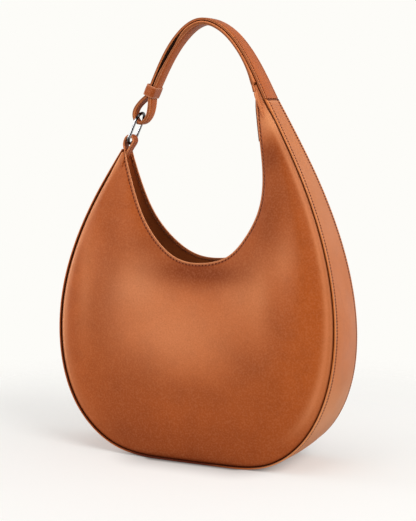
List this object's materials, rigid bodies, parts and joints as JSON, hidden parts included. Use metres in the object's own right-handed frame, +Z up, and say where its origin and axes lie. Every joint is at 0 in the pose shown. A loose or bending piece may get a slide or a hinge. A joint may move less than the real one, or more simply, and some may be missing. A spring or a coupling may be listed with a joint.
{
  "type": "half moon shoulder bag",
  "caption": "Half moon leather shoulder bag: crowned panels inset in a tapering gusset that rises into a horn, with a doubled strap looped round an oval ring, and a lined, snap-closed mouth.",
  "frame": {"origin": "middle of the bag's outer box on the flat of its base, Z = 0 on the surface it stands on", "axes": "X runs across the bag from the ring (-X) to the horn (+X), -Y is the front and +Z is up, towards the strap"},
  "size_m": [0.3327, 0.099, 0.4711],
  "materials": {
    "panel_leather": "satin fine grain",
    "gusset_leather": "satin fine grain",
    "facing_leather": "matt",
    "lining": "matt suede cloth",
    "board": "matt fibreboard",
    "pocket": "matt suede cloth",
    "throat_leather": "matt",
    "strap_leather": "satin fine grain",
    "keeper_leather": "satin",
    "snap_metal": "satin",
    "ring_metal": "polished"
  },
  "bodies": {
    "bag": {"front_panel": "panel_leather", "back_panel": "panel_leather", "gusset": "gusset_leather", "front_facing": "facing_leather", "back_facing": "facing_leather", "front_lining": "lining", "back_lining": "lining", "gusset_lining": "lining", "base_board": "board", "slip_pocket": "pocket", "throat_strip": "throat_leather", "ring_tab": "strap_leather", "snap_socket": "snap_metal", "snap_stud": "snap_metal"},
    "strap": {"strap": "strap_leather"},
    "keeper": {"keeper": "keeper_leather"},
    "ring": {"ring": "ring_metal"}
  },
  "joints": [
    {"name": "strap_tilt", "type": "hinge", "parent": "bag", "child": "strap", "pos_m": [-0.0886, 0, 0.3402], "axis": [0.924, 0, 0.3824], "range_deg": [-12, 12], "stiffness_Nm_per_rad": 0.06},
    {"name": "ring_swing", "type": "hinge", "parent": "strap", "child": "ring", "pos_m": [-0.0898, 0, 0.3371], "axis": [0, 1, 0], "range_deg": [-3, 8]},
    {"name": "keeper_slide", "type": "slide", "parent": "strap", "child": "keeper", "axis": [0.454, 0, 0.891], "range_m": [0, 0.012]}
  ]
}
